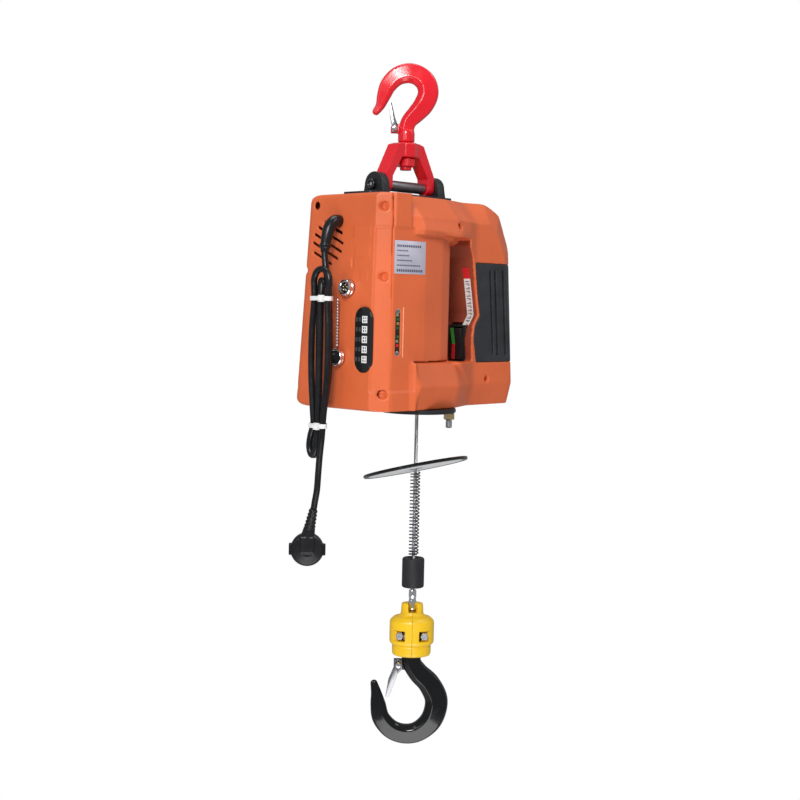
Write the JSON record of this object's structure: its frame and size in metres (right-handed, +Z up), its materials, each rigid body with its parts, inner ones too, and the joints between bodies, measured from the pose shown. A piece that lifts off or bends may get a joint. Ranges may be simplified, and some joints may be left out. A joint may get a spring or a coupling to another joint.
{
  "type": "electric wire rope hoist",
  "caption": "Portable electric drum hoist hanging from a red swivel hook, with a carry handle, wire rope, limit plate and a latched load hook.",
  "frame": {"origin": "seat of the top hook's bowl, on the swivel axis", "axes": "+Z up, +X from the vented end of the casing to its handle, -Y is the front with the data plate"},
  "size_m": [0.3305, 0.1695, 0.8226],
  "materials": {
    "red_enamel": "glossy red enamel on forged steel",
    "chrome": "bright plating",
    "steel": "plain steel",
    "black_steel": "black satin coating on steel",
    "orange_nylon": "moulded orange nylon, fine grain",
    "rubber": "black rubber",
    "black_plastic": "black moulded plastic",
    "rocker_plastic": "green upper half, red lower half",
    "cord_jacket": "smooth black cord jacket",
    "white_nylon": "white nylon tie",
    "brass": "turned brass",
    "wire_rope": "galvanised stranded wire",
    "yellow_nylon": "yellow moulded nylon",
    "circuit_board": "green circuit board"
  },
  "bodies": {
    "hook_root": {"top_hook": "red_enamel", "top_hook_nut": "red_enamel", "top_latch_pin": "chrome"},
    "top_latch": {"top_hook_latch": "chrome"},
    "bail": {"bail": "red_enamel"},
    "housing": {"bail_pin": "steel", "ear_near": "black_steel", "ear_far": "black_steel", "ear_bolt_near": "steel", "ear_bolt_far": "steel", "top_plate": "black_steel", "end_cover": "orange_nylon", "front_shell": "orange_nylon", "rear_shell": "orange_nylon", "grip": "rubber", "switch_frame": "black_plastic", "window_panel": "black_plastic", "connector_shell": "chrome", "connector_insert": "black_plastic", "cord_boot": "rubber", "cord_lead": "cord_jacket", "cord_hank": "cord_jacket", "cord_tail": "cord_jacket", "cable_tie_upper": "white_nylon", "cable_tie_lower": "white_nylon", "plug_body": "cord_jacket", "plug_pin_left": "brass", "plug_pin_right": "brass", "drum_axle": "steel", "motor_case": "black_steel", "frame_plate_left": "steel", "frame_plate_right": "steel", "control_board": "circuit_board", "rope_flange": "black_steel", "rope_guide": "brass", "limit_nut": "brass", "wire_rope": "wire_rope"},
    "roller": {"bail_roller": "steel"},
    "rocker": {"rocker": "rocker_plastic"},
    "plunger": {"limit_plunger": "steel"},
    "dust_cap": {"cap_chain": "chrome", "dust_cap": "chrome"},
    "drum": {"drum": "steel", "rope_winding": "wire_rope", "drum_gear": "steel"},
    "idler": {"idler_gear": "steel"},
    "rotor": {"motor_rotor": "steel", "cooling_fan": "black_plastic"},
    "hook_block": {"limit_spring": "steel", "bumper": "rubber", "rope_ferrule": "steel", "hook_cover_left": "yellow_nylon", "hook_cover_right": "yellow_nylon", "cover_bolt_left": "steel", "cover_bolt_right": "steel"},
    "limit_plate": {"limit_plate": "black_plastic"},
    "load_hook": {"load_hook": "black_steel", "load_hook_nut": "steel", "load_latch_rivet": "steel"},
    "load_latch": {"load_hook_latch": "chrome"}
  },
  "joints": [
    {"name": "top_latch_hinge", "type": "hinge", "parent": "hook_root", "child": "top_latch", "pos_m": [-0.0099, 0.0099, -0.0545], "axis": [0.7071, 0.7071, 0], "range_deg": [0, 28], "stiffness_Nm_per_rad": 0.05, "springref_deg": -28.65},
    {"name": "top_swivel", "type": "hinge", "parent": "hook_root", "child": "bail", "pos_m": [0, 0, -0.08], "axis": [0, 0, 1], "continuous": true},
    {"name": "bail_hinge", "type": "hinge", "parent": "bail", "child": "housing", "pos_m": [0, 0, -0.124], "axis": [1, 0, 0], "range_deg": [-45, 45]},
    {"name": "roller_spin", "type": "hinge", "parent": "housing", "child": "roller", "pos_m": [0, 0, -0.124], "axis": [1, 0, 0], "continuous": true},
    {"name": "rocker_tilt", "type": "hinge", "parent": "housing", "child": "rocker", "pos_m": [0.08, -0.021, -0.312], "axis": [0, 1, 0], "range_deg": [-4, 4], "stiffness_Nm_per_rad": 0.6},
    {"name": "plunger_travel", "type": "slide", "parent": "housing", "child": "plunger", "axis": [0, 0, 1], "range_m": [0, 0.006], "stiffness_N_per_m": 250, "springref_m": -0.003},
    {"name": "cap_swing", "type": "hinge", "parent": "housing", "child": "dust_cap", "pos_m": [-0.11, -0.002, -0.262], "axis": [1, 0, 0], "range_deg": [-20, 20]},
    {"name": "hoist_travel", "type": "slide", "parent": "housing", "child": "hook_block", "axis": [0, 0, -1], "range_m": [-0.036, 1], "deforming": ["wire_rope"]},
    {"name": "drum_turn", "type": "hinge", "parent": "housing", "child": "drum", "pos_m": [0, 0.011, -0.262], "axis": [1, 0, 0], "range_deg": [-73, 1490]},
    {"name": "idler_turn", "type": "hinge", "parent": "housing", "child": "idler", "pos_m": [0, 0.011, -0.317], "axis": [1, 0, 0], "range_deg": [-3938, 162]},
    {"name": "rotor_turn", "type": "hinge", "parent": "housing", "child": "rotor", "pos_m": [0, 0.011, -0.34], "axis": [1, 0, 0], "range_deg": [-285, 7366]},
    {"name": "plate_slide", "type": "slide", "parent": "hook_block", "child": "limit_plate", "axis": [0, 0, -1], "range_m": [0, 0.05], "stiffness_N_per_m": 400, "springref_m": -0.006, "deforming": ["limit_spring"]},
    {"name": "load_swivel", "type": "hinge", "parent": "hook_block", "child": "load_hook", "pos_m": [0, -0.028, -0.69], "axis": [0, 0, 1], "continuous": true},
    {"name": "load_latch_hinge", "type": "hinge", "parent": "load_hook", "child": "load_latch", "pos_m": [-0.01096, -0.01704, -0.7015], "axis": [-0.7071, -0.7071, 0], "range_deg": [0, 30], "stiffness_Nm_per_rad": 0.08, "springref_deg": -28.65}
  ],
  "couplings": [
    {"joint": "drum_turn", "follows": "hoist_travel", "rad_per_m": 25.641},
    {"joint": "idler_turn", "follows": "hoist_travel", "rad_per_m": -68.376},
    {"joint": "rotor_turn", "follows": "hoist_travel", "rad_per_m": 128.21}
  ]
}
